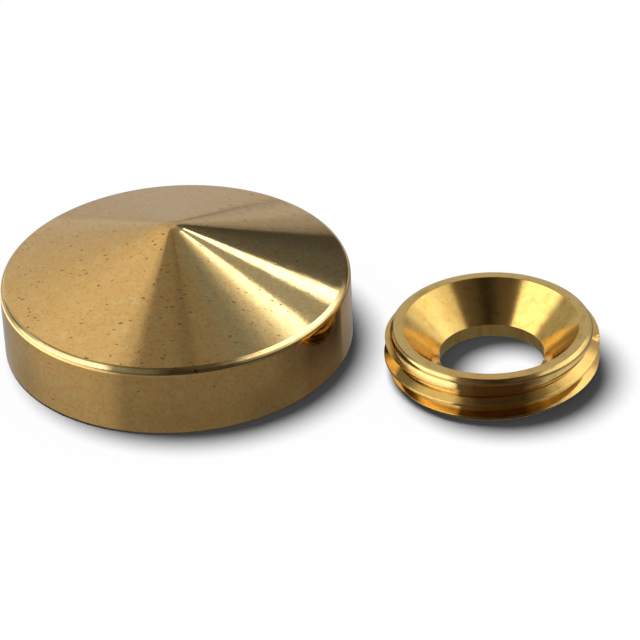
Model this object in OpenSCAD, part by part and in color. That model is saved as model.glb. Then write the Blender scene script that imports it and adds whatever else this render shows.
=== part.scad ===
// Screw cover cap in turned brass, in two pieces.
// A threaded ring goes under the head of a countersunk screw, and a pointed cap screws over the
// ring and hides the screw. The two pieces lie side by side, as they do when the cap is off.
// The origin is on the axis of the screw hole, in the plane that both pieces stand on.

/* [Cap] */
// Diameter of the cap
cap_d = 19.8; // [16.5:0.1:24]
// Height of the side wall, up to the corner where its line meets the cone's
wall_h = 4.1; // [3.9:0.1:6]
// Slope of the cone, in degrees from level
cone_slope = 19; // [12:1:28]
// Radius of the edge between the side wall and the cone
edge_r = 0.5; // [0.2:0.05:0.8]
// Radius of the blunt tip of the cone
tip_r = 2.6; // [0.4:0.1:4]
// Radius of the lower edge of the side wall
foot_r = 0.2; // [0.05:0.05:0.4]
// Room above the ring, inside the cap, for a domed screw head
head_room = 0.6; // [0.3:0.1:1]
// Angle of the drill point at the bottom of the cap's hole
drill_angle = 160; // [140:5:175]
// Width of the chamfer at the mouth of the cap's hole
mouth_chamfer = 0.4; // [0.35:0.05:0.7]

/* [Ring] */
// Height of the ring
ring_h = 2.7; // [2.4:0.1:3.2]
// Diameter of the hole for the screw's shank
hole_d = 5.9; // [5:0.1:6.5]
// Diameter of the countersink at the top face
sink_d = 9.8; // [8.6:0.1:10.2]
// Angle of the countersink
sink_angle = 90; // [86:1:110]
// Height of the plain neck, down to the shoulder of the thread
neck_h = 0.78; // [0.6:0.02:1]
// Rounding of the outer edge of the top face
lip_r = 0.35; // [0.1:0.01:0.4]
// Chamfer where the thread starts, at the foot of the ring
start_chamfer = 0.55; // [0.3:0.05:0.8]
// Direction in which the thread's groove runs out, in degrees from the X axis
runout_angle = 12; // [-180:1:180]
// Depth of the middle of the groove under the top face, where it runs out
runout_depth = 0.68; // [0.6:0.01:1]

/* [Thread] */
// Outer diameter of the thread
thread_d = 12; // [11.6:0.1:13.4]
// Pitch of the thread
pitch = 1; // [0.75:0.05:1.1]
// Depth of the ring's groove as a share of the pitch
depth_share = 0.54; // [0.4:0.01:0.56]
// Angle between the flanks of the groove
flank_angle = 60; // [50:1:60]
// Flat at the bottom of the groove as a share of the pitch
root_share = 0.25; // [0.1:0.01:0.25]
// Step from the thread's outer radius in to the ring's neck
neck_step = 0.35; // [0.25:0.05:0.45]
// Space around the neck inside the cap's hole
neck_clearance = 0.1; // [0.05:0.01:0.15]
// Space outside the ring's thread inside the cap's groove
crest_clearance = 0.05; // [0.02:0.01:0.1]

/* [Layout] */
// Gap between the cap's side wall and the thread of the ring beside it
layout_gap = 2.2; // [0.5:0.1:20]

/* [Hidden] */

$fn = 96;
steps_per_turn = 36;        // flats of one turn of a thread groove
past = 0.5;                 // how far a hole's cut runs past the face that it opens
groove_past = 0.05;         // how far a groove's cut runs past the wall that it opens
brass = [0.80, 0.64, 0.34];
yellow_brass = [0.86, 0.70, 0.32];

cap_r = cap_d / 2;
thread_r = thread_d / 2;
neck_r = thread_r - neck_step;
cap_hole_r = neck_r + neck_clearance;
cap_hole_depth = ring_h + head_room;
cap_x = -(thread_r + layout_gap + cap_r);
sink_depth = (sink_d - hole_d) / 2 / tan(sink_angle / 2);
hole_land = ring_h - sink_depth;
shoulder_z = ring_h - neck_h;

// Centre of the edge radius, which touches the side wall and the cone
edge_c = [cap_r - edge_r, wall_h - edge_r * (1 - sin(cone_slope)) / cos(cone_slope)];
// Centre of the tip radius, which touches the cone all round the axis
tip_c = [0, wall_h + cap_r * tan(cone_slope) - tip_r / cos(cone_slope)];

// Where a radius r about the centre c touches the cone
function on_cone(c, r) = c + r * [sin(cone_slope), cos(cone_slope)];

// Half of the groove's width at the radius r, when its bottom is at root_r
function groove_half(r, root_r) =
    root_share * pitch / 2 + abs(r - root_r) * tan(flank_angle / 2);

// The corners of the groove's section, as radius and height from its middle
function groove_section(root_r, mouth_r) =
    let (low = min(root_r, mouth_r), high = max(root_r, mouth_r))
    let (low_half = groove_half(low, root_r), high_half = groove_half(high, root_r))
    [[low, -low_half], [high, -high_half], [high, high_half], [low, low_half]];

// A right-hand helical groove that rises from under the foot, and whose middle is at the
// height z_end where it ends, in the direction end_angle
module thread_groove(root_r, mouth_r, z_end, end_angle) {
    section = groove_section(root_r, mouth_r);
    sides = len(section);
    turns = z_end / pitch + 1;
    steps = ceil(turns * steps_per_turn);
    points = [
        for (i = [0:steps], corner = section)
            let (back = turns * (1 - i / steps), a = end_angle - 360 * back)
            [corner.x * cos(a), corner.x * sin(a), z_end - pitch * back + corner.y]
    ];
    walls = [
        for (i = [0:steps - 1], j = [0:sides - 1])
            let (k = (j + 1) % sides, near = i * sides, far = near + sides)
            each [[near + j, near + k, far + k], [near + j, far + k, far + j]]
    ];
    last = steps * sides;
    ends = [
        [0, 2, 1], [0, 3, 2],
        [last, last + 1, last + 2], [last, last + 2, last + 3]
    ];
    polyhedron(points, concat(walls, ends));
}

// Half of the cap's outer section, from the axis to the side wall
module cap_section() {
    foot_c = [cap_r - foot_r, foot_r];
    intersection() {
        union() {
            polygon([
                [0, 0], [foot_c.x, 0], [cap_r, foot_c.y], [cap_r, edge_c.y],
                on_cone(edge_c, edge_r), on_cone(tip_c, tip_r), tip_c
            ]);
            translate(foot_c) circle(foot_r);
            translate(edge_c) circle(edge_r);
            translate(tip_c) circle(tip_r);
        }
        square([cap_d, cap_d]);
    }
}

// The cap's hole: a chamfered mouth, the plain wall and the drill point
module cap_hole() {
    rotate_extrude() polygon([
        [0, -past],
        [cap_hole_r + mouth_chamfer + past, -past],
        [cap_hole_r, mouth_chamfer],
        [cap_hole_r, cap_hole_depth],
        [0, cap_hole_depth + cap_hole_r / tan(drill_angle / 2)]
    ]);
}

module cover_cap() {
    color(brass) translate([cap_x, 0, 0]) difference() {
        rotate_extrude() cap_section();
        cap_hole();
        thread_groove(thread_r + crest_clearance, cap_hole_r - groove_past, ring_h, 0);
    }
}

// Half of the ring's section before the thread is cut
module ring_section() {
    lip_c = [neck_r - lip_r, ring_h - lip_r];
    polygon([
        [hole_d / 2, 0],
        [thread_r - start_chamfer, 0],
        [thread_r, start_chamfer],
        [thread_r, shoulder_z],
        [neck_r, shoulder_z],
        [neck_r, lip_c.y],
        [lip_c.x, ring_h],
        [sink_d / 2, ring_h],
        [hole_d / 2, hole_land]
    ]);
    translate(lip_c) circle(lip_r);
}

module threaded_ring() {
    root_r = thread_r - depth_share * pitch;
    color(yellow_brass) difference() {
        rotate_extrude() ring_section();
        thread_groove(root_r, thread_r + groove_past, ring_h - runout_depth, runout_angle);
    }
}

cover_cap();
threaded_ring();
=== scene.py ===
"""Looks of the two-piece brass screw cover: the pointed cap and the threaded ring beside it."""

import math

import bpy
import numpy as np
from mathutils import Matrix, Vector


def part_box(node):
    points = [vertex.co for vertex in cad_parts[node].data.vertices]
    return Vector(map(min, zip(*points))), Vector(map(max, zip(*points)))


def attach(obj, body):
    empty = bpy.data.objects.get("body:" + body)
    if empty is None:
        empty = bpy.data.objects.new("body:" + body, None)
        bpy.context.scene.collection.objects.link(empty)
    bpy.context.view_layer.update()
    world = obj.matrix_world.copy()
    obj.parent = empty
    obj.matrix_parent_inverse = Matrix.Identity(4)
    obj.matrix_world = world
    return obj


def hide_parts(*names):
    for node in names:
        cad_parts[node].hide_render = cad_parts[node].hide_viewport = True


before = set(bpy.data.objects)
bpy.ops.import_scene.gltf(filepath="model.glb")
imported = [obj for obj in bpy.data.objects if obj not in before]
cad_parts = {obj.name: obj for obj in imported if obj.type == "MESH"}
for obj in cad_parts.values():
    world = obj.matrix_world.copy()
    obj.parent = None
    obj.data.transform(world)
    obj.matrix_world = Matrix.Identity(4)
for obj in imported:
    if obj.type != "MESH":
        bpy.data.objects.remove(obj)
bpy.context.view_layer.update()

MM = 0.001

# Sizes of the pieces, in millimetres. What the frame can give is measured from it.
EDGE_R = 0.5
TIP_R = 2.6
FOOT_R = 0.2
CAP_WALL_H = 4.1
CONE_SLOPE = math.radians(19)
MOUTH_CHAMFER = 0.4
DRILL_SLOPE = math.radians(10)
HEAD_ROOM = 0.6
HOLE_R = 2.95
SINK_R = 4.9
LIP_R = 0.35
NECK_H = 0.78
NECK_STEP = 0.35
START_CHAMFER = 0.55
PITCH = 1.0
THREAD_DEPTH = 0.54
ROOT_HALF = 0.125       # half the width of the flat at the bottom of the groove
FLANK_SLOPE = math.tan(math.radians(30))
RUNOUT_ANGLE = math.radians(12)
RUNOUT_DEPTH = 0.68     # of the middle of the groove under the top face, where it runs out
NECK_CLEARANCE = 0.1
CREST_CLEARANCE = 0.05
CAP_GROOVE_DEPTH = 0.3
SHOULDER_LEAN = 0.002   # half the rise of the shoulder's face from its edge to the neck

# How far the corners are rounded over, in millimetres
DRILL_EDGE_R = 0.06
MOUTH_EDGE_R = 0.04
SINK_EDGE_R = 0.05
SINK_BOTTOM_R = 0.06
HOLE_FOOT_R = 0.05
START_EDGE_R = 0.04
THREAD_FOOT_R = 0.08
SHOULDER_EDGE_R = 0.03
NECK_FOOT_R = 0.02
CAP_GROOVE_ROUNDING = 0.03
RING_GROOVE_ROUNDING = 0.025

# How finely the meshes are divided, with steps along the section in millimetres
CAP_COLUMNS = 384
RING_COLUMNS = 320
THREAD_STEP = 0.0125
HOLE_WALL_STEP = 0.03
CEILING_STEP = 0.8
MOUTH_STEP = 0.6
INSIDE_STEP = 0.5
OUTSIDE_STEP = 0.35
RUNOUT_SHARE = 0.008    # of a turn, over which the last groove runs out

cap_low, cap_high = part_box("cover_cap")
ring_low, ring_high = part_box("threaded_ring")
CAP_R = (cap_high.y - cap_low.y) / 2 / MM
CAP_X = (cap_high.x + cap_low.x) / 2 / MM
THREAD_R = (ring_high.y - ring_low.y) / 2 / MM
RING_H = ring_high.z / MM
NECK_R = THREAD_R - NECK_STEP
CAP_HOLE_R = NECK_R + NECK_CLEARANCE
CAP_THREAD_TOP = RING_H + 0.35      # above the end of the cap's groove
MOUTH_TOP = MOUTH_CHAMFER + 0.06    # where the rows of the hole's wall meet those of its mouth

# On the flat undersides, the gap from the rounded edge to the row that ends each path
CAP_INNER_END, CAP_OUTER_END = 0.05, 0.04
RING_INNER_END, RING_OUTER_END = 0.1, 0.08

# The camera, fitted to the photograph: it looks at a point on the floor between the pieces
LENS = 215.2
CAMERA_DISTANCE = 218.5
CAMERA_AZIMUTH = math.radians(14.58)
CAMERA_PITCH = math.radians(33.03)
CAMERA_ROLL = math.radians(2.81)
CAMERA_TARGET = Vector((-10.55, 2.89, 0)) * MM

right = Vector((math.cos(CAMERA_AZIMUTH), math.sin(CAMERA_AZIMUTH), 0))
forward = Vector((-math.sin(CAMERA_AZIMUTH), math.cos(CAMERA_AZIMUTH), 0))
up = Vector((0, 0, 1))
look = forward * math.cos(CAMERA_PITCH) - up * math.sin(CAMERA_PITCH)
down = look.cross(right)
across = right * math.cos(CAMERA_ROLL) + down * math.sin(CAMERA_ROLL)
upward = right * math.sin(CAMERA_ROLL) - down * math.cos(CAMERA_ROLL)


# ---------------------------------------------------------------- meshes

def arc(centre, radius, start, end, steps):
    """Points of an arc in the (r, z) plane, with angles in radians from the r axis."""
    return [
        (centre[0] + radius * math.cos(a), centre[1] + radius * math.sin(a))
        for a in np.linspace(start, end, steps + 1)
    ]


def rounded(corners, steps=5):
    """The path through (r, z, radius) corners, each rounded by an arc of that radius."""
    path = [corners[0][:2]]
    for before, here, after in zip(corners, corners[1:], corners[2:]):
        b, p, a = (np.array(c[:2], float) for c in (before, here, after))
        into, out = (p - b) / np.linalg.norm(p - b), (a - p) / np.linalg.norm(a - p)
        turn = math.acos(float(np.clip(into @ out, -1, 1)))
        if here[2] == 0 or turn < 1e-4:
            path.append(tuple(p))
            continue
        side = math.copysign(1, into[0] * out[1] - into[1] * out[0])
        start = p - into * here[2] * math.tan(turn / 2)
        centre = start + side * here[2] * np.array((-into[1], into[0]))
        first = math.atan2(*(start - centre)[::-1])
        path += arc(centre, here[2], first, first + side * turn, steps)
    path.append(corners[-1][:2])
    return path


def divided(path, step, guard=0.012):
    """The path with each long stretch split into steps, and a row close to each of its ends."""
    rows = [path[0]]
    for start, end in zip(path, path[1:]):
        length = math.dist(start, end)
        if length > 4 * guard:
            count = max(1, math.ceil((length - 2 * guard) / step))
            for t in np.linspace(guard / length, 1 - guard / length, count + 1):
                rows.append((
                    start[0] + (end[0] - start[0]) * t,
                    start[1] + (end[1] - start[1]) * t,
                ))
        rows.append(end)
    return rows


def turned_mesh(name, rows, columns, axis_x):
    """A closed mesh of revolution about the vertical line at axis_x.

    Each row is (r, z), and either may be an array with one value per column. The rows run so
    that the solid lies to their left. Where the first and last rows are on the axis, each is a
    single point. Otherwise the last row joins the first.
    """
    turn = np.arange(columns) * 2 * math.pi / columns
    poles = np.max(rows[0][0]) == 0
    body = rows[1:-1] if poles else rows
    r = np.array([np.broadcast_to(row[0], columns) for row in body], float)
    z = np.array([np.broadcast_to(row[1], columns) for row in body], float)
    points = np.stack([axis_x + r * np.cos(turn), r * np.sin(turn), z], axis=-1).reshape(-1, 3)
    here = np.arange(columns)
    beside = np.roll(here, -1)
    polygons = []
    for i in range(len(body) - 1 if poles else len(body)):
        a, b = i * columns, (i + 1) % len(body) * columns
        polygons += np.stack([a + here, a + beside, b + beside, b + here], axis=-1).tolist()
    if poles:
        top, low = len(points), (len(body) - 1) * columns
        points = np.vstack([points, (axis_x, 0, rows[0][1]), (axis_x, 0, rows[-1][1])])
        polygons += [[top, b, a] for a, b in zip(here.tolist(), beside.tolist())]
        polygons += [[low + a, low + b, top + 1] for a, b in zip(here.tolist(), beside.tolist())]
    mesh = bpy.data.meshes.new(name)
    mesh.from_pydata((points * MM).tolist(), [], polygons)
    mesh.shade_smooth()
    obj = bpy.data.objects.new(name, mesh)
    bpy.context.scene.collection.objects.link(obj)
    return obj


def soft_min(a, b, width):
    """The smaller of a and b, with the corner between them rounded over about the width."""
    mix = np.clip(0.5 + 0.5 * (b - a) / width, 0, 1)
    return b * (1 - mix) + a * mix - width * mix * (1 - mix)


def groove_rise(z, turn, z_end, end_angle):
    """How far a helical groove's wall stands off its bottom, growing without limit outside it."""
    back = ((end_angle - turn) / (2 * math.pi)) % 1
    number = np.maximum(np.round((z_end - z) / PITCH - back), 0)
    off = np.abs(z - z_end + PITCH * (back + number))
    run_out = np.where(number == 0, np.clip(1 - back / RUNOUT_SHARE, 0, 1), 0) * THREAD_DEPTH
    return np.maximum(off - ROOT_HALF, 0) / FLANK_SLOPE + run_out


def cap_mesh():
    """The pointed cap: drill point, threaded hole, base, side wall, cone and blunt tip."""
    slope = CONE_SLOPE
    hole_depth = RING_H + HEAD_ROOM
    base_r = CAP_R - FOOT_R
    edge = (CAP_R - EDGE_R, CAP_WALL_H - EDGE_R * (1 - math.sin(slope)) / math.cos(slope))
    tip = (0, CAP_WALL_H + CAP_R * math.tan(slope) - TIP_R / math.cos(slope))
    turn = np.arange(CAP_COLUMNS) * 2 * math.pi / CAP_COLUMNS

    ceiling = divided(rounded([
        (0, hole_depth + CAP_HOLE_R * math.tan(DRILL_SLOPE), 0),
        (CAP_HOLE_R, hole_depth, DRILL_EDGE_R),
        (CAP_HOLE_R, CAP_THREAD_TOP, 0),
    ]), CEILING_STEP)
    mouth = divided(rounded([
        (CAP_HOLE_R, MOUTH_TOP, 0),
        (CAP_HOLE_R, MOUTH_CHAMFER, MOUTH_EDGE_R),
        (CAP_HOLE_R + MOUTH_CHAMFER, 0, MOUTH_EDGE_R),
        (base_r - CAP_INNER_END, 0, 0),
    ]), MOUTH_STEP)
    wall = np.arange(CAP_THREAD_TOP - 0.02, MOUTH_TOP, -HOLE_WALL_STEP)
    threaded = [(CAP_HOLE_R, z) for z in wall]
    outside = (
        arc((base_r, FOOT_R), FOOT_R, -math.pi / 2, 0, steps=6)
        + arc(edge, EDGE_R, 0, math.pi / 2 - slope, steps=16)
        + arc(tip, TIP_R, math.pi / 2 - slope, math.pi / 2, steps=12)
    )
    rows = []
    for r, z in ceiling + threaded + mouth:
        if abs(r - CAP_HOLE_R) < CAP_GROOVE_DEPTH and z < CAP_THREAD_TOP:
            groove = THREAD_R + CREST_CLEARANCE - groove_rise(z, turn, RING_H, 0)
            r = -soft_min(-r, -groove, CAP_GROOVE_ROUNDING)
        rows.append((r, z))
    rows += divided([(base_r - CAP_OUTER_END, 0)] + outside, OUTSIDE_STEP)
    rows[-1] = (0, rows[-1][1])
    return turned_mesh("brass_cap", rows, CAP_COLUMNS, CAP_X)


def ring_mesh():
    """The ring: hole, base, threaded outside, neck, rounded lip and countersink."""
    turn = np.arange(RING_COLUMNS) * 2 * math.pi / RING_COLUMNS
    shoulder = RING_H - NECK_H
    root = THREAD_R - THREAD_DEPTH
    start_r = THREAD_R - START_CHAMFER
    inside = divided(rounded([
        (NECK_R - LIP_R, RING_H, 0),
        (SINK_R, RING_H, SINK_EDGE_R),
        (HOLE_R, RING_H - SINK_R + HOLE_R, SINK_BOTTOM_R),
        (HOLE_R, 0, HOLE_FOOT_R),
        (start_r - RING_INNER_END, 0, 0),
    ]), INSIDE_STEP)
    blank = rounded([
        (start_r - RING_OUTER_END, 0, 0),
        (start_r, 0, START_EDGE_R),
        (THREAD_R, START_CHAMFER, THREAD_FOOT_R),
        (THREAD_R, shoulder - SHOULDER_LEAN, SHOULDER_EDGE_R),
        (NECK_R, shoulder + SHOULDER_LEAN, NECK_FOOT_R),
        (NECK_R, RING_H - LIP_R, 0),
    ])
    lip = arc((NECK_R - LIP_R, RING_H - LIP_R), LIP_R, 0, math.pi / 2, steps=14)
    rows = []
    for r, z in divided(blank, THREAD_STEP, THREAD_STEP / 4) + lip:
        groove = root + groove_rise(z, turn, RING_H - RUNOUT_DEPTH, RUNOUT_ANGLE)
        rows.append((soft_min(r, groove, RING_GROOVE_ROUNDING), z))
    return turned_mesh("brass_ring", rows + inside[1:], RING_COLUMNS, 0)


cap = cap_mesh()
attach(cap, "root")
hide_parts("cover_cap")

ring = ring_mesh()
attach(ring, "root")
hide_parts("threaded_ring")


# ---------------------------------------------------------------- materials

CAP_BRASS = (0.87, 0.61, 0.24, 1)
# The duller, warmer brass of the blotches, which is also a painted tint on the side toward the
# camera's left, where the cone mirrors the bright panels
CAP_BRASS_DULL = (0.86, 0.525, 0.18, 1)
RING_BRASS = (0.88, 0.605, 0.185, 1)
RING_BRASS_DULL = (0.82, 0.51, 0.13, 1)
# Painted light and shade: a paler copy of the brass on the neck and lip stands in for the light
# they catch, and a darker, warmer copy on the thread for the shade in its grooves
RING_BRASS_PAINTED_LIT = (0.88, 0.63, 0.24, 1)     # on the neck and lip
RING_BRASS_PAINTED_SHADE = (0.88, 0.56, 0.165, 1)    # on the thread
TARNISH = (0.50, 0.27, 0.08, 1)
PIT_BROWN = (0.28, 0.08, 0.02, 1)

# How far marks stand up or go down, in millimetres
WAVER_RELIEF = 0.006
CAP_TURNING_RELIEF = 0.0005
CAP_GRAIN_RELIEF = 0.0011
CAP_SPECK_DEPTH = 0.001
RING_TURNING_RELIEF = 0.0014
RING_GRAIN_RELIEF = 0.0014
RING_SPECK_DEPTH = 0.002


def new_material(name):
    """An empty node material and its tree."""
    material = bpy.data.materials.new(name)
    material.use_nodes = True
    tree = material.node_tree
    tree.nodes.clear()
    return material, tree


def add_node(tree, kind, inputs=None, **settings):
    """Adds a node. Each input is a number, a colour or another node's output."""
    node = tree.nodes.new(kind)
    for key, value in settings.items():
        setattr(node, key, value)
    for key, value in (inputs or {}).items():
        socket = node.inputs[key]
        if isinstance(value, bpy.types.NodeSocket):
            tree.links.new(value, socket)
        else:
            socket.default_value = value
    return node


def maths(tree, operation, *values, clamp=False):
    """The output of a Math node."""
    node = add_node(tree, "ShaderNodeMath", dict(enumerate(values)), operation=operation,
                    use_clamp=clamp)
    return node.outputs[0]


def product(tree, first, second):
    """The two values multiplied."""
    return maths(tree, "MULTIPLY", first, second)


def total(tree, first, second):
    """The two values added."""
    return maths(tree, "ADD", first, second)


def ramp(tree, value, low, high, out_low=0.0, out_high=1.0):
    """The value, taken smoothly from low..high to out_low..out_high."""
    node = add_node(tree, "ShaderNodeMapRange", {
        "Value": value, "From Min": low, "From Max": high, "To Min": out_low, "To Max": out_high,
    }, interpolation_type="SMOOTHSTEP")
    return node.outputs[0]


def mixed(tree, share, first, second):
    """Two colours mixed by the share of the second."""
    node = tree.nodes.new("ShaderNodeMix")
    node.data_type = "RGBA"
    sockets = {s.identifier: s for s in node.inputs}
    for key, value in (("Factor_Float", share), ("A_Color", first), ("B_Color", second)):
        if isinstance(value, bpy.types.NodeSocket):
            tree.links.new(value, sockets[key])
        else:
            sockets[key].default_value = value
    return next(s for s in node.outputs if s.identifier == "Result_Color")


def noise(tree, vector, scale, detail=3.0, roughness=0.5, w=None):
    """A noise texture, about 0.5 on average, with its scale in cells per unit of the vector."""
    inputs = {"Vector": vector, "Scale": scale, "Detail": detail, "Roughness": roughness}
    if w is not None:
        inputs["W"] = w
    dimensions = "3D" if w is None else "4D"
    return add_node(tree, "ShaderNodeTexNoise", inputs, noise_dimensions=dimensions).outputs[0]


def turned_coordinates(tree, axis_x):
    """From the foot of the piece's axis, in millimetres: vector, radius, height, direction."""
    where = add_node(tree, "ShaderNodeTexCoord").outputs["Object"]
    local = add_node(tree, "ShaderNodeMapping", {
        "Vector": where, "Location": (-axis_x, 0, 0), "Scale": (1 / MM,) * 3,
    }).outputs[0]
    parts = add_node(tree, "ShaderNodeSeparateXYZ", {0: local})
    flat = add_node(tree, "ShaderNodeCombineXYZ", {
        0: parts.outputs[0], 1: parts.outputs[1],
    }).outputs[0]
    radius = add_node(tree, "ShaderNodeVectorMath", {0: flat}, operation="LENGTH").outputs["Value"]
    direction = add_node(tree, "ShaderNodeVectorMath", {0: flat}, operation="NORMALIZE").outputs[0]
    return local, radius, parts.outputs[2], direction


def turning_marks(tree, radius, height, direction, scale, along, detail=2.0):
    """Noise in fine rings round the axis, each of which fades in and out along its length."""
    parts = add_node(tree, "ShaderNodeSeparateXYZ", {0: direction})
    vector = add_node(tree, "ShaderNodeCombineXYZ", {
        0: product(tree, parts.outputs[0], along / scale),
        1: product(tree, parts.outputs[1], along / scale),
        2: radius,
    }).outputs[0]
    return noise(tree, vector, scale, detail, roughness=0.6, w=product(tree, height, scale))


def specks(tree, local, scale, chance, size):
    """1 inside small ragged marks, scattered with the given chance per cell, and 0 outside them."""
    rag_scale, rag = 9.0, 0.14
    smallest = 0.4
    shift = add_node(tree, "ShaderNodeTexNoise", {
        "Vector": local, "Scale": rag_scale, "Detail": 1.0,
    }).outputs[1]
    bent = add_node(tree, "ShaderNodeVectorMath", {0: shift, 1: (rag,) * 3, 2: local},
                    operation="MULTIPLY_ADD").outputs[0]
    cells = add_node(tree, "ShaderNodeTexVoronoi", {"Vector": bent, "Scale": scale},
                     voronoi_dimensions="3D")
    pick = add_node(tree, "ShaderNodeSeparateColor", {0: cells.outputs["Color"]})
    chosen = maths(tree, "LESS_THAN", pick.outputs[0], chance)
    reach = product(tree, total(tree, pick.outputs[1], smallest), size * scale)
    outward = maths(tree, "DIVIDE", cells.outputs["Distance"], reach)
    inside = maths(tree, "SUBTRACT", 1.0, outward, clamp=True)
    return product(tree, ramp(tree, inside, 0, 0.6), chosen)


def finish_metal(tree, colour, rough, height):
    """The metal's shader, with the height in millimetres as its bump."""
    bump = add_node(tree, "ShaderNodeBump", {"Height": height, "Strength": 1.0, "Distance": MM})
    shader = add_node(tree, "ShaderNodeBsdfPrincipled", {
        "Base Color": colour, "Metallic": 1.0, "Roughness": rough, "Normal": bump.outputs[0],
    })
    add_node(tree, "ShaderNodeOutputMaterial", {"Surface": shader.outputs[0]})


def cap_material():
    """Polished brass with faint turning, a slight waver in its polish, and reddish specks."""
    material, tree = new_material("polished_brass_turned")
    local, radius, height, direction = turned_coordinates(tree, CAP_X * MM)
    rings = turning_marks(tree, radius, height, direction, scale=5.0, along=1.5)
    waver = noise(tree, local, scale=0.6, detail=1.0)
    grain = noise(tree, local, scale=5.0, detail=4.0, roughness=0.7)
    blotches = noise(tree, local, scale=1.6, detail=5.0, roughness=0.65)

    # More specks on the cone than on the wall, more on its left, and the most near its left rim
    leftness = add_node(tree, "ShaderNodeVectorMath", {0: direction, 1: tuple(-right)},
                        operation="DOT_PRODUCT").outputs["Value"]
    on_left = ramp(tree, leftness, -0.2, 0.4, 0.06, 0.42)
    near_rim = product(tree, ramp(tree, radius, 7.0, 9.0),
                       ramp(tree, leftness, 0.0, 0.4, 0.0, 0.58))
    on_cone = ramp(tree, height, CAP_WALL_H - 0.1, CAP_WALL_H + 0.2, 0.12, 1.0)
    chance = product(tree, total(tree, on_left, near_rim), on_cone)
    stretched = add_node(tree, "ShaderNodeVectorMath", {0: local, 1: (0.55, 1.1, 1.0)},
                         operation="MULTIPLY").outputs[0]
    marks = specks(tree, stretched, scale=2.7, chance=chance, size=0.068)
    dots = specks(tree, local, scale=0.9, chance=product(tree, on_cone, 0.12), size=0.09)
    dark = maths(tree, "MAXIMUM", product(tree, marks, 0.85), dots)

    # The blotches are the brass's own uneven tone. The shift by leftness is a painted tint: the
    # side toward the camera's left, which mirrors the bright panels, gets more of the duller,
    # warmer brass.
    blotches_and_painted_left_tint = total(tree, blotches, ramp(tree, leftness, -0.3, 0.5, -0.12, 0.1))
    clean = mixed(tree, ramp(tree, blotches_and_painted_left_tint, 0.38, 0.62), CAP_BRASS, CAP_BRASS_DULL)
    worn = mixed(tree, ramp(tree, grain, 0.46, 0.68, 0.0, 0.4), clean, TARNISH)
    colour = mixed(tree, dark, worn, PIT_BROWN)
    rough = total(tree, ramp(tree, blotches, 0.3, 0.75, 0.045, 0.085), product(tree, dark, 0.15))
    relief = total(tree, product(tree, waver, WAVER_RELIEF),
                   product(tree, rings, CAP_TURNING_RELIEF))
    relief = total(tree, relief, product(tree, grain, CAP_GRAIN_RELIEF))
    relief = maths(tree, "SUBTRACT", relief, product(tree, dark, CAP_SPECK_DEPTH))
    finish_metal(tree, colour, rough, relief)
    return material


def ring_material():
    """Yellow brass as it comes off the lathe, with fine rings and brownish streaks."""
    material, tree = new_material("yellow_brass_turned")
    local, radius, height, direction = turned_coordinates(tree, 0)
    rings = turning_marks(tree, radius, height, direction, scale=9.0, along=1.2, detail=3.0)
    grain = noise(tree, local, scale=9.0, detail=4.0, roughness=0.65)
    blotches = noise(tree, local, scale=1.4, detail=4.0, roughness=0.6)
    streaks = noise(tree, direction, scale=7.0, detail=4.0, roughness=0.65,
                    w=product(tree, radius, 0.35))
    marks = specks(tree, local, scale=2.6, chance=0.16, size=0.06)

    shoulder = RING_H - NECK_H
    clean = mixed(tree, ramp(tree, blotches, 0.35, 0.7), RING_BRASS, RING_BRASS_DULL)
    on_neck = ramp(tree, height, shoulder - 0.02, shoulder + 0.06)
    # Painted light and shade: the neck and lip paler, the grooved thread darker and warmer
    outer = mixed(tree, on_neck, RING_BRASS_PAINTED_SHADE, RING_BRASS_PAINTED_LIT)
    clean = mixed(tree, ramp(tree, radius, SINK_R, SINK_R + 0.2, 0.0, 0.8), clean, outer)
    streaked = mixed(tree, ramp(tree, streaks, 0.50, 0.68, 0.0, 0.45), clean, TARNISH)
    colour = mixed(tree, product(tree, marks, 0.7), streaked, PIT_BROWN)
    rough = total(tree, ramp(tree, rings, 0.3, 0.7, 0.07, 0.13), product(tree, marks, 0.2))
    relief = total(tree, product(tree, rings, RING_TURNING_RELIEF),
                   product(tree, grain, RING_GRAIN_RELIEF))
    relief = maths(tree, "SUBTRACT", relief, product(tree, marks, RING_SPECK_DEPTH))
    finish_metal(tree, colour, rough, relief)
    return material


cap.data.materials.append(cap_material())
ring.data.materials.append(ring_material())


# ---------------------------------------------------------------- camera

camera_data = bpy.data.cameras.new("camera")
camera_data.lens = LENS
camera_data.sensor_width = 36
camera_data.clip_start = 0.005
camera_data.clip_end = 20
camera = bpy.data.objects.new("camera", camera_data)
bpy.context.scene.collection.objects.link(camera)
turned = Matrix((across, upward, -look)).transposed().to_4x4()
camera.matrix_world = Matrix.Translation(CAMERA_TARGET - look * CAMERA_DISTANCE * MM) @ turned
bpy.context.scene.camera = camera


# ---------------------------------------------------------------- floor, reflections and lamp

FLOOR_HALF = 3.0
FLOOR_WHITE = 0.94
FLOOR_GLOW = 0.03
FLOOR_DROP = 0.002 * MM     # keeps the floor out of the faces that stand on it
TOUCHING = 0.01 * MM        # the floor is see-through to reflections shorter than this
WORLD_FILL = 0.05

WHITE_LIGHT = (1, 1, 1, 1)
COOL_LIGHT = (0.93, 1.15, 1.5, 1)
WARM_LIGHT = (1.05, 0.55, 0.25, 1)

DOME_ROWS = 144
DOME_COLUMNS = 560
DOME_FOOT = -2              # degrees over the horizon
HORIZON_DARKER = 0.3
HORIZON_TOP = 0.03          # the sine of the angle up to which it is darker

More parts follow.
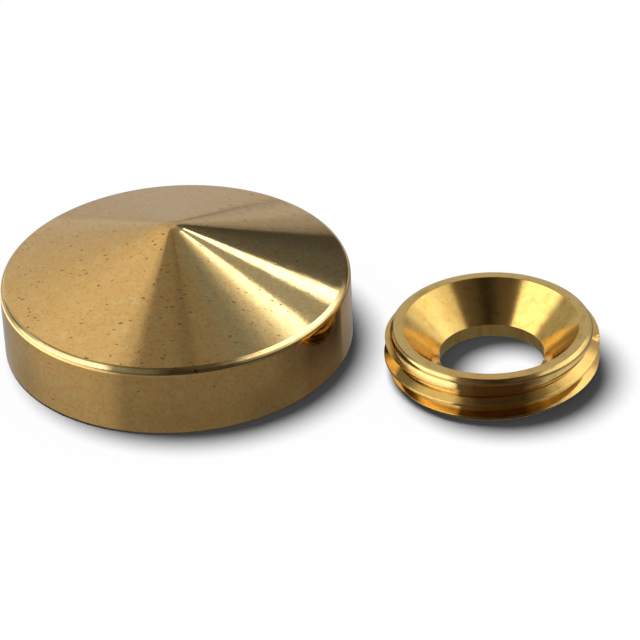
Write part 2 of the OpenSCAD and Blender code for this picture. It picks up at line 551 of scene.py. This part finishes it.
CARD_COLUMNS = 360
CARD_STRIP = 8              # millimetres round the piece where the card's rows are close
CARD_STRIP_ROWS = 54
CARD_OUTER = (10, 1400)     # millimetres from the wall to the first and last of the other rows
CARD_OUTER_ROWS = 16
CARD_BEHIND = (8, 25)       # millimetres behind the ring's axis, where the light turns CARD_FAR
CARD_SETTLE = 3             # millimetres past the reach, where the light is that of far away
FRONT_FROM = (-80, -60)     # degrees round from the camera between which FRONT_TWICE sets in
FRONT_TO = (90, 110)        # and between which it ends
LAST_FACING = 89            # degrees, the furthest round that a wall is taken to face
GRAZING = 88                # degrees, past which a wall mirrors the light of far away
HALVINGS = 30
CARD_LIFT = 0.01 * MM
UNDER_LEVEL = 0.04          # the card's light under the piece
HOLE_LEVEL = 0.15           # and in its hole
HOLE_TWICE = 0.8            # the same where metal mirrors metal
FRONT_TWICE = 0.72          # share of the light where metal mirrors metal in front of the piece
CARD_FAR = 0.48

FLAG_H = 3.6
FLAG_HOLE_R = 2.4
FLAG_COLUMNS = 96
FLAG_BLACK = (0.02, 0.02, 0.02, 1)


def stage_mesh(name, points, polygons, material):
    """A mesh that belongs to the stage, with its points in metres."""
    mesh = bpy.data.meshes.new(name)
    mesh.from_pydata([tuple(p) for p in points], [], polygons)
    mesh.materials.append(material)
    obj = bpy.data.objects.new(name, mesh)
    bpy.context.scene.collection.objects.link(obj)
    return obj


def background_rays(tree):
    """1 for the rays that see the background: camera, glossy and transmission rays."""
    path = add_node(tree, "ShaderNodeLightPath").outputs
    seen = maths(tree, "MAXIMUM", path["Is Camera Ray"], path["Is Glossy Ray"])
    return maths(tree, "MAXIMUM", seen, path["Is Transmission Ray"])


def floor_material():
    """White paper, which is see-through from below, and to the faces that stand on it."""
    material, tree = new_material("white_floor")
    white = (FLOOR_WHITE, FLOOR_WHITE, FLOOR_WHITE, 1)
    paper = add_node(tree, "ShaderNodeBsdfDiffuse", {"Color": white})
    glow = add_node(tree, "ShaderNodeEmission", {
        "Strength": product(tree, background_rays(tree), FLOOR_GLOW),
    })
    both = add_node(tree, "ShaderNodeAddShader", {0: paper.outputs[0], 1: glow.outputs[0]})
    below = add_node(tree, "ShaderNodeBsdfTransparent")
    side = add_node(tree, "ShaderNodeNewGeometry").outputs["Backfacing"]
    path = add_node(tree, "ShaderNodeLightPath").outputs
    near = maths(tree, "LESS_THAN", path["Ray Length"], TOUCHING)
    clear = maths(tree, "MAXIMUM", side, product(tree, path["Is Glossy Ray"], near))
    shown = add_node(tree, "ShaderNodeMixShader", {
        0: clear, 1: both.outputs[0], 2: below.outputs[0],
    })
    add_node(tree, "ShaderNodeOutputMaterial", {"Surface": shown.outputs[0]})
    return material


def glow_material(name, see_through):
    """Light as strong as the mesh's own glow attribute says.

    Its red is the light for metal that mirrors the mesh directly, and its green the light where
    metal mirrors metal that mirrors it. Its blue is positive where the light is cool and negative
    where it is warm. None of the light reaches the floor by way of the metal.
    """
    material, tree = new_material(name)
    levels = add_node(tree, "ShaderNodeAttribute", attribute_name="glow").outputs["Color"]
    once, again, coolness = add_node(tree, "ShaderNodeSeparateColor", {0: levels}).outputs
    path = add_node(tree, "ShaderNodeLightPath").outputs
    twice = maths(tree, "GREATER_THAN", path["Glossy Depth"], 1.5)
    level = maths(tree, "MULTIPLY_ADD", twice, maths(tree, "SUBTRACT", again, once), once)
    strength = product(tree, level, maths(tree, "LESS_THAN", path["Diffuse Depth"], 0.5))
    colour = mixed(tree, coolness, WHITE_LIGHT, COOL_LIGHT)
    colour = mixed(tree, product(tree, coolness, -1.0), colour, WARM_LIGHT)
    light = add_node(tree, "ShaderNodeEmission", {"Color": colour, "Strength": strength})
    if see_through:
        clear = add_node(tree, "ShaderNodeBsdfTransparent")
        light = add_node(tree, "ShaderNodeAddShader", {0: light.outputs[0], 1: clear.outputs[0]})
    add_node(tree, "ShaderNodeOutputMaterial", {"Surface": light.outputs[0]})
    material.cycles.emission_sampling = "NONE"
    return material


def glowing_mesh(name, piece, points, polygons, levels, twice_levels, coolness, see_through):
    """A stage mesh whose light reaches one piece only, by reflection."""
    obj = stage_mesh(name, points, polygons, glow_material(name, see_through))
    obj.visible_camera = obj.visible_diffuse = obj.visible_shadow = False
    obj.visible_transmission = obj.visible_volume_scatter = False
    colours = np.ones((len(points), 4))
    colours[:, 0], colours[:, 1], colours[:, 2] = levels, twice_levels, coolness
    layer = obj.data.attributes.new("glow", "FLOAT_COLOR", "POINT")
    layer.data.foreach_set("color", colours.ravel())
    lit = bpy.data.collections.new("lit_by_" + name)
    lit.objects.link(piece)
    obj.light_linking.receiver_collection = lit


def blend(x, low, high):
    """0 below low, 1 above high, and smooth between them."""
    t = np.clip((x - low) / (high - low), 0, 1)
    return t * t * (3 - 2 * t)


def table(angle, points):
    """A level read from (angle, level) points, joined by smooth steps."""
    angles, levels = np.array(points).T
    index = np.clip(np.searchsorted(angles, angle, side="right") - 1, 0, len(angles) - 2)
    t = blend(angle, angles[index], angles[index + 1])
    return levels[index] * (1 - t) + levels[index + 1] * t


def banded(facing, slope, bands):
    """A level read from (slope, table) bands, with smooth steps between the bands."""
    level = table(facing, bands[0][1])
    for (low, _), (high, points) in zip(bands, bands[1:]):
        level += (table(facing, points) - level) * blend(slope, low, high)
    return level


def ring_polygons(rows, columns):
    """Quads between the points of rings, one ring after another."""
    here = np.arange(columns)
    beside = (here + 1) % columns
    polygons = []
    for i in range(rows - 1):
        a, b = i * columns, (i + 1) * columns
        polygons += np.stack([a + here, b + here, b + beside, a + beside], axis=-1).tolist()
    return polygons


# What the panels and flags round the set look like, told by the surface that mirrors them to the
# camera: its slope, and the direction it faces (degrees round from the camera, right is positive).
TOP_LEVELS = [(-180, 0.5), (180, 0.5)]
TIP_LEVELS = [
    (-180, 0.46), (-113, 0.53), (-60, 0.70), (-22, 0.70), (-12, 0.28), (0, 0.24), (30, 0.28),
    (60, 0.34), (76, 0.14), (107, 0.12), (114, 0.4), (180, 0.46),
]
CONE_LEVELS = [
    (-180, 0.46), (-146, 0.46), (-135, 0.57), (-113, 0.55), (-90, 0.60), (-70, 0.68), (-50, 0.76),
    (-24, 0.75), (-18, 0.60), (-12, 0.26), (-2, 0.24), (5, 0.185), (10, 0.25), (26, 0.25),
    (32, 0.34), (36, 0.56), (40, 0.80), (44, 1.4), (47, 2.3), (51.5, 2.5), (53.5, 0.42),
    (65.5, 0.40), (67.5, 3.0), (73, 3.2), (75.5, 0.15), (84, 0.12), (107, 0.07), (110, 0.25),
    (117, 0.37), (128, 0.50), (138, 0.43), (142, 0.32), (146, 0.32), (150, 0.47), (180, 0.45),
]
EDGE_LEVELS = [
    (-180, 0.5), (-100, 0.55), (-84, 0.68), (-65, 0.56), (-45, 0.33), (-28, 0.42), (-20, 0.2),
    (-14, 0.12), (0, 0.075), (12, 0.09), (19, 0.2), (26, 0.9), (33, 2.2), (40, 2.8), (64, 3.0),
    (71, 1.2), (78, 0.3), (84, 0.1), (105, 0.1), (112, 0.45), (180, 0.5),
]
BRIM_LEVELS = [
    (-180, 0.5), (-110, 0.6), (-90, 0.8), (-82, 0.7), (-74, 0.3), (-64, 0.22), (-56, 0.7),
    (-48, 1.3), (-25, 1.6), (-20, 0.32), (-12, 0.2), (0, 0.05), (12, 0.09), (19, 0.25), (26, 1.2),
    (34, 2.2), (62, 2.6), (72, 1.0), (82, 0.1), (105, 0.1), (112, 0.45), (180, 0.5),
]
WALL_TOP_LEVELS = [
    (-180, 0.5), (-90, 1.3), (-68, 0.6), (-54, 2.2), (-25, 2.3), (-20, 0.3), (-12, 0.2), (0, 0.04),
    (18, 0.06), (26, 0.25), (33, 0.55), (42, 1.0), (52, 1.3), (62, 1.0), (70, 0.75), (79, 0.1),
    (120, 0.4), (180, 0.5),
]
LOW_LEVELS = [
    (-180, 0.5), (-90, 0.9), (-75, 0.9), (-30, 0.85), (-23, 0.4), (-21, 0.16), (0, 0.05),
    (15, 0.05), (28, 0.06), (45, 0.12), (75, 0.12), (90, 0.1), (120, 0.4), (180, 0.5),
]
CAP_BANDS = [
    (4, TOP_LEVELS), (9, TIP_LEVELS), (13.5, TIP_LEVELS), (17, CONE_LEVELS), (22, CONE_LEVELS),
    (24.5, EDGE_LEVELS), (33, EDGE_LEVELS), (38, BRIM_LEVELS), (46, BRIM_LEVELS),
    (53, WALL_TOP_LEVELS), (60, WALL_TOP_LEVELS), (67, LOW_LEVELS),
]
FLANK_LEVELS = [
    (-180, 0.5), (-100, 0.4), (-75, 0.18), (-58, 0.2), (-46, 0.75), (-28, 0.8), (-22, 0.12),
    (-12, 0.04), (12, 0.04), (24, 0.2), (32, 0.6), (42, 1.1), (50, 1.4), (62, 1.3), (76, 0.45),
    (105, 0.4), (180, 0.5),
]
SINK_LEVELS = [
    (-180, 0.5), (-150, 1.1), (-125, 1.1), (-105, 0.5), (-90, 0.55), (-76, 0.4), (-62, 0.42),
    (-52, 1.75), (-28, 1.8), (-23, 0.16), (-15, 0.10), (0, 0.03), (14, 0.09), (22.5, 0.14),
    (27, 0.80), (36, 1.10), (50, 1.40), (62, 1.0), (80, 0.42), (95, 0.52), (105, 0.60),
    (125, 1.1), (150, 1.1), (180, 0.5),
]
RING_BANDS = [
    (20, TOP_LEVELS), (25, FLANK_LEVELS), (34, FLANK_LEVELS), (38, SINK_LEVELS), (58, SINK_LEVELS),
    (66, LOW_LEVELS),
]

# How cool the panels' light is, from -1, warm, to 1, told in the same way
CONE_COOLNESS = [
    (-180, 0.2), (-150, 0.2), (-110, 0), (10, 0), (25, 0.8), (32, 0.7), (38, 0.5), (46, 0.9),
    (60, 0.9), (92, 0.8), (112, 0.4), (150, 0.25), (180, 0.2),
]
RIM_COOLNESS = [
    (-180, 0.2), (-120, 0.3), (-90, 0.9), (-20, 1), (10, 0), (25, 0.8), (92, 0.8), (112, 0.4),
    (150, 0.25), (180, 0.2),
]
CAP_COOLNESS = [(26, CONE_COOLNESS), (34, RIM_COOLNESS)]
RING_COOLNESS = [(0, [(-180, 0), (-27, 0), (-20, -0.3), (20, -0.3), (30, 0), (180, 0)])]


def mirrored_by(directions, point):
    """How the surface faces and slopes that, at the point, mirrors each direction to the camera."""
    sight = np.array((point - camera.matrix_world.translation).normalized())
    normal = directions - sight
    normal /= np.maximum(np.linalg.norm(normal, axis=1), 1e-6)[:, None]
    facing = np.degrees(np.arctan2(normal @ np.array(right), -(normal @ np.array(forward))))
    return facing, np.degrees(np.arccos(np.clip(normal[:, 2], -1, 1)))


def sky_panels(name, piece, point, bands, cool_bands, size, twice, see_through):
    """A dome of soft panels and dark flags, which one piece mirrors.

    The size is its radius in metres, and twice is the share of its light where metal mirrors
    metal.
    """
    heights = np.radians(np.linspace(DOME_FOOT, 90, DOME_ROWS))
    turns = np.arange(DOME_COLUMNS) * 2 * math.pi / DOME_COLUMNS
    high, around = np.meshgrid(heights, turns, indexing="ij")
    directions = np.stack([
        np.cos(high) * np.cos(around), np.cos(high) * np.sin(around), np.sin(high),
    ], axis=-1).reshape(-1, 3)
    middle = np.array((CAP_X / 2 * MM, 0, 0))
    facing, slope = mirrored_by(directions, point)
    low_down = 1 - blend(directions[:, 2], 0, HORIZON_TOP)
    levels = banded(facing, slope, bands) * (1 - HORIZON_DARKER * low_down)
    glowing_mesh(name, piece, middle + directions * size, ring_polygons(DOME_ROWS, DOME_COLUMNS),
                 levels, levels * twice, banded(facing, slope, cool_bands), see_through)


def facing_vector(degrees):
    """Level unit vectors at degrees round from the camera, right positive."""
    a = np.radians(degrees)[..., None]
    return np.sin(a) * np.array(right) - np.cos(a) * np.array(forward)


# The floor card's light for each piece: the direction that its wall faces where it mirrors the
# card to the camera, with the light close to the wall, further out and far away, and its coolness.
CAP_CARD = [
    (0, 0.19, 0.215, 0.25, 0), (15, 0.185, 0.21, 0.2, 0), (30, 0.14, 0.19, 0.12, 0),
    (42, 0.15, 0.12, 0.1, 0), (50, 0.13, 0.07, 0.15, -0.25), (64, 0.12, 0.05, 0.15, -0.25),
    (67, 0.13, 0.08, 0.2, -0.1), (70, 0.2, 0.27, 0.25, 0), (82, 0.24, 0.34, 0.12, 0),
    (89, 0.22, 0.34, 0.1, 0),
]
CAP_CARD_LEFT = [
    (0, 0.19, 0.215, 0.25, 0), (16, 0.22, 0.25, 0.3, 0), (24, 0.38, 0.40, 1.0, 0),
    (30, 0.41, 0.45, 1.4, 0), (45, 0.40, 0.46, 2.0, 0), (60, 0.32, 0.38, 1.9, 0),
    (75, 0.38, 0.36, 1.4, 0), (89, 0.40, 0.50, 1.0, 0),
]
RING_CARD = [
    (0, 0.05, 0.04, 0.1, -0.8), (15, 0.05, 0.04, 0.1, -0.8), (24, 0.2, 0.12, 0.2, -0.2),
    (33, 0.6, 0.5, 0.3, 0), (48, 0.9, 0.6, 0.4, 0), (60, 0.75, 0.5, 0.3, 0),
    (75, 0.35, 0.22, 0.2, 0), (89, 0.2, 0.15, 0.15, 0),
]
RING_CARD_LEFT = [
    (0, 0.05, 0.04, 0.1, -0.8), (8, 0.055, 0.055, 0.1, -0.8), (22.5, 0.1, 0.1, 0.15, -0.3),
    (25.5, 0.8, 2.2, 0.8, 0), (36, 0.8, 2.3, 0.8, 0), (46, 0.70, 2.1, 0.8, 0),
    (54, 0.30, 1.6, 0.6, 0), (62, 0.13, 0.70, 0.35, 0), (75, 0.14, 0.40, 0.3, 0),
    (89, 0.18, 0.36, 0.3, 0),
]


def wall_facing(far, side, radius):
    """The direction in which a wall of the radius faces where it mirrors points of the floor.

    The points lie at the distance far from its axis, and side degrees round from the camera. A
    wall that faces f degrees mirrors the floor along a line that leaves it at 2f degrees. The
    facing is found by halving the range in which it lies.
    """
    low, high = np.zeros_like(side), np.minimum(side, LAST_FACING)
    for _ in range(HALVINGS):
        middle = (low + high) / 2
        a = np.radians(middle)
        beyond = far * np.sin(np.radians(side) - 2 * a) + radius * np.sin(a) < 0
        low, high = np.where(beyond, low, middle), np.where(beyond, middle, high)
    return low


def floor_card(name, piece, axis_x, radius, hole, turning_point, reach, sides, lift, twice,
               see_through):
    """A card over the floor that only one piece mirrors, with its light told by the piece's wall.

    The light changes from near to out between the turning point's two distances from the wall,
    and to far away from the reach on. All of them are in millimetres.
    """
    radii = np.concatenate([
        [0.01, hole, hole + 0.01, radius - 0.01],
        np.linspace(radius, radius + CARD_STRIP, CARD_STRIP_ROWS),
        radius + np.geomspace(*CARD_OUTER, CARD_OUTER_ROWS),
    ])
    turns = np.arange(CARD_COLUMNS) * 360 / CARD_COLUMNS - 180
    far, around = (g.ravel() for g in np.meshgrid(radii, turns, indexing="ij"))
    points = far[:, None] * facing_vector(around) * MM + np.array((axis_x * MM, 0, lift))

    side = np.abs(around)
    facing = wall_facing(far, side, radius)
    from_wall = far[:, None] * facing_vector(side) - radius * facing_vector(facing)
    away = np.linalg.norm(from_wall, axis=1)
    level, coolness = np.zeros_like(far), np.zeros_like(far)
    behind = blend(points @ np.array(forward) / MM, *CARD_BEHIND)
    for sign, rows in zip((1, -1), sides):
        near, out, base, cool = (
            table(facing, [(row[0], row[i]) for row in rows]) for i in (1, 2, 3, 4)
        )
        shown = near + (out - near) * blend(away, *turning_point)
        shown += (base - shown) * blend(away, reach, reach + CARD_SETTLE)
        shown = np.where(facing > GRAZING, base, shown)
        level = np.where(around * sign >= 0, shown + (CARD_FAR - shown) * behind, level)
        coolness = np.where(around * sign >= 0, cool, coolness)
    level = np.where(far < radius, UNDER_LEVEL, level)
    level = np.where(far <= hole, HOLE_LEVEL, level)
    in_front = blend(around, *FRONT_FROM) * (1 - blend(around, *FRONT_TO))
    second = level * (twice + (FRONT_TWICE - twice) * in_front)
    second = np.where(far <= hole, HOLE_TWICE, second)
    glowing_mesh(name, piece, points, ring_polygons(len(radii), CARD_COLUMNS),
                 level, second, coolness, see_through)


def shadow_flag():
    """A washer over the ring that only the sun's rays meet.

    It makes the ring's soft shadow as wide as the cap's.
    """
    turns = np.arange(FLAG_COLUMNS) * 2 * math.pi / FLAG_COLUMNS
    points = [
        (r * math.cos(a) * MM, r * math.sin(a) * MM, FLAG_H * MM)
        for r in (FLAG_HOLE_R, THREAD_R) for a in turns
    ]
    material, tree = new_material("black_flag")
    black = add_node(tree, "ShaderNodeBsdfDiffuse", {"Color": FLAG_BLACK})
    add_node(tree, "ShaderNodeOutputMaterial", {"Surface": black.outputs[0]})
    flag = stage_mesh("shadow_flag", points, ring_polygons(2, FLAG_COLUMNS), material)
    flag.visible_camera = flag.visible_diffuse = flag.visible_glossy = False
    flag.visible_transmission = flag.visible_volume_scatter = False


def soft_sun(azimuth, elevation, spread, strength):
    """A wide sun at degrees round from straight ahead of the camera, right positive, and up."""
    data = bpy.data.lights.new("soft_key", "SUN")
    data.energy = strength
    data.angle = math.radians(spread)
    lamp = bpy.data.objects.new("soft_key", data)
    bpy.context.scene.collection.objects.link(lamp)
    a, e = math.radians(azimuth), math.radians(elevation)
    away = (forward * math.cos(a) + right * math.sin(a)) * math.cos(e) + up * math.sin(e)
    lamp.rotation_euler = away.to_track_quat("Z", "Y").to_euler()
    lamp.visible_glossy = False


def white_world():
    """A world that is white as a background and gives the set a little light."""
    world = bpy.data.worlds.new("world")
    bpy.context.scene.world = world
    world.use_nodes = True
    tree = world.node_tree
    tree.nodes.clear()
    seen = background_rays(tree)
    strength = total(tree, product(tree, seen, 1 - WORLD_FILL), WORLD_FILL)
    sky = add_node(tree, "ShaderNodeBackground", {"Strength": strength})
    add_node(tree, "ShaderNodeOutputWorld", {"Surface": sky.outputs[0]})


corners = ((-1, -1), (1, -1), (1, 1), (-1, 1))
stage_mesh("floor", [(x * FLOOR_HALF, y * FLOOR_HALF, -FLOOR_DROP) for x, y in corners],
           [(0, 1, 2, 3)], floor_material())

# The outermost dome and the lowest card are solid, and those that lie in front are see-through,
# because a piece sees nothing but black where another piece's light is solid.
sky_panels("cap_dome", cap, Vector((CAP_X, 0, CAP_WALL_H)) * MM, CAP_BANDS, CAP_COOLNESS,
           size=1.5, twice=0.5, see_through=True)
sky_panels("ring_dome", ring, Vector((0, 0, RING_H)) * MM, RING_BANDS, RING_COOLNESS,
           size=1.6, twice=0.75, see_through=False)
floor_card("cap_card", cap, CAP_X, CAP_R, CAP_HOLE_R, turning_point=(1.0, 4.5), reach=6.5,
           sides=(CAP_CARD, CAP_CARD_LEFT), lift=CARD_LIFT, twice=0.5, see_through=False)
floor_card("ring_card", ring, 0, THREAD_R, HOLE_R, turning_point=(2.6, 3.0), reach=3.4,
           sides=(RING_CARD, RING_CARD_LEFT), lift=CARD_LIFT * 2, twice=0.1, see_through=True)
shadow_flag()
soft_sun(azimuth=-42, elevation=68, spread=31, strength=3.35)
white_world()

bpy.context.scene.view_settings.view_transform = "Standard"
